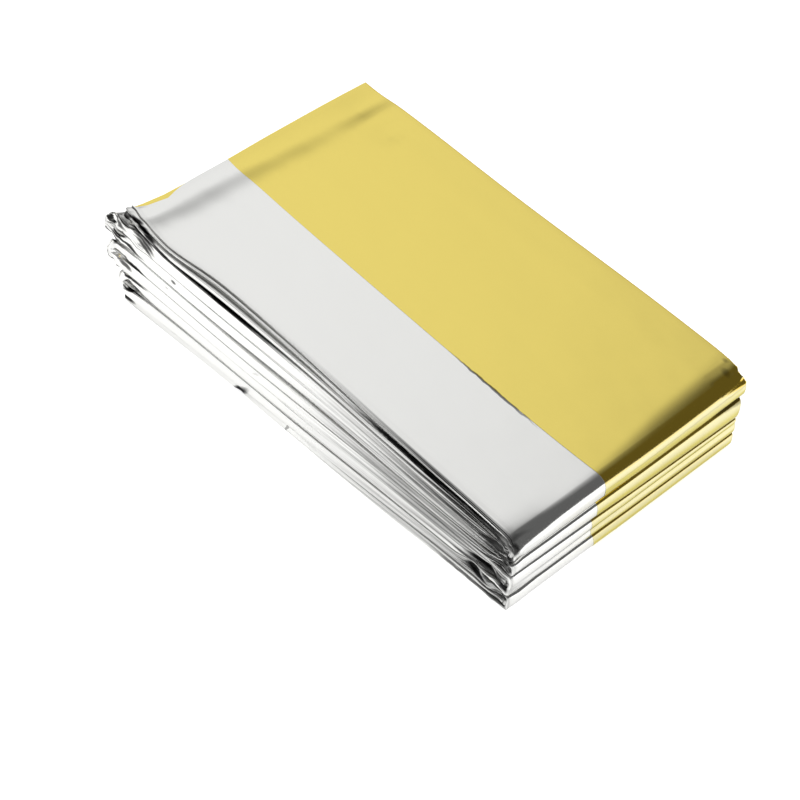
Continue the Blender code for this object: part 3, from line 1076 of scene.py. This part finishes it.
def side_shade_spots(tree, vector):
    """The painted shade spots, from object coordinates moved about by noise: an ellipsoid with a soft edge
    for each row, and the darkest one where they overlap."""
    noise = add_node(tree, "ShaderNodeTexNoise", {"Vector": vector, "Scale": SHADE_SPOT_NOISE_SCALE})
    moved = {0: noise.outputs["Color"], 1: (SHADE_SPOT_RAGGED,) * 3, 2: vector}
    ragged = add_node(tree, "ShaderNodeVectorMath", moved, operation="MULTIPLY_ADD")
    total = 0.0
    for row in SHADE_SPOTS:
        centre = np.array((row.x, row.y, row.z)) * MM + PANEL_ORIGIN + 0.5 * SHADE_SPOT_RAGGED
        place = {
            "Vector": ragged.outputs["Vector"],
            "Location": centre.tolist(),
            "Rotation": (math.radians(row.tilt), -math.radians(row.slant), 0.0),
            "Scale": (row.reach_x * MM, row.reach_y * MM, row.reach_z * MM),
        }
        local = add_node(tree, "ShaderNodeMapping", place, vector_type="TEXTURE")
        away = add_node(tree, "ShaderNodeVectorMath", {0: local.outputs["Vector"]}, operation="LENGTH")
        # Each spot is painted shade, as dark as its row says
        spot_shade = soft_step(tree, away.outputs["Value"], 1.0 + SHADE_SPOT_EDGE, 1.0 - SHADE_SPOT_EDGE, row.dark)
        total = math_node(tree, "MAXIMUM", spot_shade, total)
    return {"Mask": total}


def tone_ramp(tree, factor, tones):
    """A ramp of colours, each at its place."""
    ramp = add_node(tree, "ShaderNodeValToRGB", {"Fac": factor})
    elements = ramp.color_ramp.elements
    while len(elements) < len(tones):
        elements.new(0.5)
    for element, (place, colour) in zip(elements, tones):
        element.position = place
        element.color = (*colour, 1.0)
    return ramp.outputs["Color"]


def plain_material(name):
    """A material, its nodes and its shader."""
    material = bpy.data.materials.new(name)
    material.use_nodes = True
    return material, material.node_tree, material.node_tree.nodes["Principled BSDF"]


def foil_material(name, tones, roughness):
    """Metallised film: its colour by the way it faces, with painted sheen and shade on the gold, painted
    shade between its pleats and in its shade spots, its scuffs, and its wrinkles and creases as bumps."""
    material, tree, shader = plain_material(name)
    # The gold's colours by facing paint its sheen and shade; the silver's stay even
    tone_and_sheen = tone_ramp(tree, attribute_node(tree, "rise"), tones)
    film = add_node(tree, "ShaderNodeUVMap", {}, uv_map="film").outputs["UV"]
    here = add_node(tree, "ShaderNodeTexCoord", {}).outputs["Object"]
    pleat = attribute_node(tree, "pleat")
    given = {"Vector": film, "Pleat": pleat, "Shade": attribute_node(tree, "shade")}
    creases = group_node(tree, "pleat_creases", pleat_creases, given).outputs
    shade_spots = group_node(tree, "side_shade_spots", side_shade_spots, {"Vector": here}).outputs
    wrinkles = group_node(tree, "film_wrinkles", film_wrinkles, {"Vector": film}).outputs
    # Painted shade: the darker of the shade between the pleats and the shade spots
    dark = math_node(tree, "MAXIMUM", creases["Shade"], shade_spots["Mask"])
    mixed = {"Factor": dark, MIX_FIRST: tone_and_sheen, MIX_SECOND: (*SHADE_COLOUR, 1.0)}
    shaded = add_node(tree, "ShaderNodeMix", mixed, data_type="RGBA")
    spread = {"To Min": roughness * SCUFF_LEAST, "To Max": roughness * SCUFF_MOST}
    scuffed = add_node(tree, "ShaderNodeMapRange", {"Value": wrinkles["Mask"], **spread})
    brushed = math_node(tree, "MULTIPLY", pleat, PLEAT_ROUGHNESS)
    soft = bump_node(tree, {"Height": wrinkles["Height"], "Distance": WRINKLE_HEIGHT})
    relief = {"Height": creases["Height"], "Distance": CREASE_HEIGHT, "Normal": soft}
    looks = {
        "Base Color": shaded.outputs[MIX_RESULT],
        "Metallic": 1.0,
        "Roughness": math_node(tree, "ADD", scuffed.outputs["Result"], brushed),
        "Specular Tint": (*EDGE_TINT, 1.0),
        "Normal": bump_node(tree, relief),
    }
    fill(tree, shader, looks)
    return material


# The stage

CAMERA_AZIMUTH = math.radians(48.97)
CAMERA_ELEVATION = math.radians(49.07)
CAMERA_DISTANCE = 408.6
CAMERA_TARGET = np.array((77.3, 14.5, 12.05))
CAMERA_LENS = 80.55
CAMERA_CLIP = (0.01, 50.0)
SENSOR = 36.0
FLOOR_ROUGHNESS = 0.9

# The studio as a sky: soft boxes and dark cards, laid over each other in this order. Each has its
# azimuth from +Y towards +X and its elevation, how wide it is fully itself and where it ends, in degrees,
# and its brightness. The camera itself sees another one, as pale as the floor.
Card = namedtuple("Card", "azimuth elevation inner outer level")
CARDS = (
    Card(-75.0, 38.0, 5.0, 57.0, 1.2),
    Card(-70.0, 12.0, 15.0, 31.0, 0.33),
    Card(52.0, 34.0, 36.0, 64.0, 0.15),
    Card(-148.0, 18.0, 28.0, 48.0, 0.02),
)
SKY_SEEN = 1.5


def direction(azimuth, elevation):
    """The direction of an azimuth from +Y towards +X and an elevation, both in degrees."""
    a, e = math.radians(azimuth), math.radians(elevation)
    return (math.sin(a) * math.cos(e), math.cos(a) * math.cos(e), math.sin(e))


def cosine(angle):
    """Cosine of an angle in degrees."""
    return math.cos(math.radians(angle))


def float_mix(tree, factor, first, second):
    """A mix of two numbers."""
    mixed = {"Factor": factor, "A": first, "B": second}
    return add_node(tree, "ShaderNodeMix", mixed).outputs["Result"]


def studio_world(level):
    """A studio at one level, with each card over it where the cosine of the angle to its middle is more
    than that of its outer edge."""
    world = bpy.data.worlds.new("studio")
    world.use_nodes = True
    tree = world.node_tree
    tree.nodes.clear()
    way = add_node(tree, "ShaderNodeTexCoord", {}).outputs["Generated"]
    total = level
    for card in CARDS:
        ways = {0: way, 1: direction(card.azimuth, card.elevation)}
        facing = add_node(tree, "ShaderNodeVectorMath", ways, operation="DOT_PRODUCT").outputs["Value"]
        share = soft_step(tree, facing, cosine(card.outer), cosine(card.inner))
        total = float_mix(tree, share, total, card.level)
    seen = add_node(tree, "ShaderNodeLightPath", {}).outputs["Is Camera Ray"]
    shown = {"Strength": float_mix(tree, seen, total, SKY_SEEN)}
    sky = add_node(tree, "ShaderNodeBackground", shown).outputs["Background"]
    add_node(tree, "ShaderNodeOutputWorld", {"Surface": sky})
    return world


def floor_material(colour, glow):
    """Plain pale paper that glows, as a lit table does."""
    material, tree, shader = plain_material("floor_paper")
    looks = {
        "Base Color": (*colour, 1.0),
        "Roughness": FLOOR_ROUGHNESS,
        "Specular IOR Level": 0.0,
        "Emission Color": (1.0, 1.0, 1.0, 1.0),
        "Emission Strength": glow,
    }
    fill(tree, shader, looks)
    return material


def make_floor(size, colour, glow):
    """A square floor, as far as its size each way."""
    mesh = bpy.data.meshes.new("floor")
    corners = np.array(((-1, -1, 0), (1, -1, 0), (1, 1, 0), (-1, 1, 0)), float) * size
    mesh.from_pydata(corners.tolist(), [], [(0, 1, 2, 3)])
    mesh.materials.append(floor_material(colour, glow))
    floor = bpy.data.objects.new("floor", mesh)
    bpy.context.scene.collection.objects.link(floor)
    return floor


def make_light(energy, angle):
    """An even light from above: it lights the floor, and is left out of the film's reflections."""
    light = bpy.data.lights.new("ceiling", "SUN")
    light.energy = energy
    light.angle = angle
    lamp = bpy.data.objects.new("ceiling", light)
    lamp.visible_glossy = False
    bpy.context.scene.collection.objects.link(lamp)
    return lamp


def make_camera():
    """A camera that looks at its target on the panel, from its distance, azimuth and elevation."""
    camera = bpy.data.cameras.new("camera")
    camera.lens = CAMERA_LENS
    camera.sensor_width = SENSOR
    camera.clip_start, camera.clip_end = CAMERA_CLIP
    view = bpy.data.objects.new("camera", camera)
    a, e = CAMERA_AZIMUTH, CAMERA_ELEVATION
    back = np.array((math.sin(a) * math.cos(e), -math.cos(a) * math.cos(e), math.sin(e)))
    view.location = (CAMERA_TARGET + back * CAMERA_DISTANCE) * MM + PANEL_ORIGIN
    view.rotation_euler = (0.5 * math.pi - e, 0.0, a)
    bpy.context.scene.collection.objects.link(view)
    bpy.context.scene.camera = view
    return view


# Settings, operators and panel


class FoilFilmSettings(bpy.types.PropertyGroup):
    """Sizes and colours of the film, with the painted sheen and shade of its gold face"""

    thickness: bpy.props.FloatProperty(
        name="Thickness",
        description="Thickness of the film",
        default=0.00004,
        unit="LENGTH",
        precision=6,
    )
    silver: bpy.props.FloatVectorProperty(
        name="Silver",
        description="Colour of the silver face",
        default=(0.86, 0.86, 0.84),
        subtype="COLOR",
    )
    gold: bpy.props.FloatVectorProperty(
        name="Gold",
        description="Colour of the gold face where it lies level",
        default=(0.86, 0.70, 0.18),
        subtype="COLOR",
    )
    # A painted shade: deeper, darker gold where the gold face slopes
    gold_slope_shade: bpy.props.FloatVectorProperty(
        name="Deep gold",
        description="Colour of the gold face where it slopes",
        default=(0.86, 0.60, 0.07),
        subtype="COLOR",
    )
    # A painted sheen: pale cream gold where the gold face stands upright
    gold_upright_sheen: bpy.props.FloatVectorProperty(
        name="Cream gold",
        description="Colour of the gold face where it stands upright",
        default=(0.76, 0.70, 0.41),
        subtype="COLOR",
    )
    # A painted shade: dimmer yellow gold where the gold face looks down
    gold_downward_shade: bpy.props.FloatVectorProperty(
        name="Yellow gold",
        description="Colour of the gold face where it looks down",
        default=(0.71, 0.62, 0.13),
        subtype="COLOR",
    )
    roughness: bpy.props.FloatProperty(
        name="Roughness",
        description="Roughness of both faces",
        default=0.15,
        min=0.0,
        max=1.0,
    )


class FoilStageSettings(bpy.types.PropertyGroup):
    """Light and floor"""

    floor: bpy.props.FloatVectorProperty(
        name="Floor",
        description="Colour of the floor",
        default=(0.9, 0.9, 0.9),
        subtype="COLOR",
    )
    floor_size: bpy.props.FloatProperty(
        name="Floor size",
        description="Half the floor's side",
        default=4.0,
        unit="LENGTH",
    )
    floor_glow: bpy.props.FloatProperty(
        name="Floor glow",
        description="How much the floor glows by itself",
        default=0.70,
    )
    ceiling: bpy.props.FloatProperty(
        name="Ceiling light",
        description="Strength of the light from above",
        default=1.2,
    )
    ceiling_angle: bpy.props.FloatProperty(
        name="Ceiling angle",
        description="How wide the light from above is",
        default=2.0,
        subtype="ANGLE",
    )
    studio: bpy.props.FloatProperty(
        name="Studio",
        description="Brightness of the studio between its cards",
        default=0.6,
    )


# Where on the way from down (0) to up (1) the gold face has which colour: its own gold where it lies
# level, painted shade where it slopes or looks down, and a painted pale sheen where it stands upright
GOLD_AND_SHEEN_TONES = (
    (0.46, "gold_downward_shade"),
    (0.55, "gold_upright_sheen"),
    (0.68, "gold_upright_sheen"),
    (0.82, "gold_slope_shade"),
    (0.978, "gold_slope_shade"),
    (0.99, "gold"),
)


def materials(settings):
    """The film's two materials, made once."""
    found = [bpy.data.materials.get(name) for name in ("silver_film", "gold_film")]
    if None in found:
        silver = ((0.0, settings.silver), (1.0, settings.silver))
        gold = [(place, getattr(settings, name)) for place, name in GOLD_AND_SHEEN_TONES]
        found = [
            foil_material("silver_film", silver, settings.roughness),
            foil_material("gold_film", gold, settings.roughness),
        ]
    return found


class FOIL_OT_layers(bpy.types.Operator):
    """Makes the pleated layers of the film"""

    bl_idname = "foil.layers"
    bl_label = "Pleated layers"

    def execute(self, context):
        piece, size = film_piece("foil_layers", layers_section(), context.scene.foil_film)
        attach(piece, BODY)
        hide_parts(NODE)
        return {"FINISHED"}


class FOIL_OT_flap(bpy.types.Operator):
    """Makes the gold flap of the film"""

    bl_idname = "foil.flap"
    bl_label = "Gold flap"

    def execute(self, context):
        piece, size = film_piece("foil_flap", flap_section(), context.scene.foil_film)
        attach(piece, BODY)
        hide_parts(NODE)
        return {"FINISHED"}


class FOIL_OT_stage(bpy.types.Operator):
    """Makes the floor, the lights and the camera"""

    bl_idname = "foil.stage"
    bl_label = "Stage"

    def execute(self, context):
        settings = context.scene.foil_stage
        make_floor(settings.floor_size, settings.floor, settings.floor_glow)
        make_light(settings.ceiling, settings.ceiling_angle)
        make_camera()
        context.scene.world = studio_world(settings.studio)
        context.scene.view_settings.view_transform = "Standard"
        return {"FINISHED"}


class FOIL_PT_panel(bpy.types.Panel):
    """Lists the pieces of the blanket"""

    bl_idname = "FOIL_PT_panel"
    bl_label = "Foil blanket"
    bl_space_type = "VIEW_3D"
    bl_region_type = "UI"
    bl_category = "Foil"

    def draw(self, context):
        for name in ("foil.stage", "foil.layers", "foil.flap"):
            self.layout.operator(name)


CLASSES = (
    FoilFilmSettings,
    FoilStageSettings,
    FOIL_OT_stage,
    FOIL_OT_layers,
    FOIL_OT_flap,
    FOIL_PT_panel,
)


def register():
    """Adds the classes, and the settings to the scene."""
    for kind in CLASSES:
        bpy.utils.register_class(kind)
    bpy.types.Scene.foil_film = bpy.props.PointerProperty(type=FoilFilmSettings)
    bpy.types.Scene.foil_stage = bpy.props.PointerProperty(type=FoilStageSettings)


def unregister():
    """Takes the settings and the classes away again."""
    del bpy.types.Scene.foil_film
    del bpy.types.Scene.foil_stage
    for kind in reversed(CLASSES):
        bpy.utils.unregister_class(kind)


def main():
    """Makes the stage and both pieces."""
    register()
    bpy.ops.foil.stage()
    bpy.ops.foil.layers()
    bpy.ops.foil.flap()


if __name__ == "__main__":
    main()
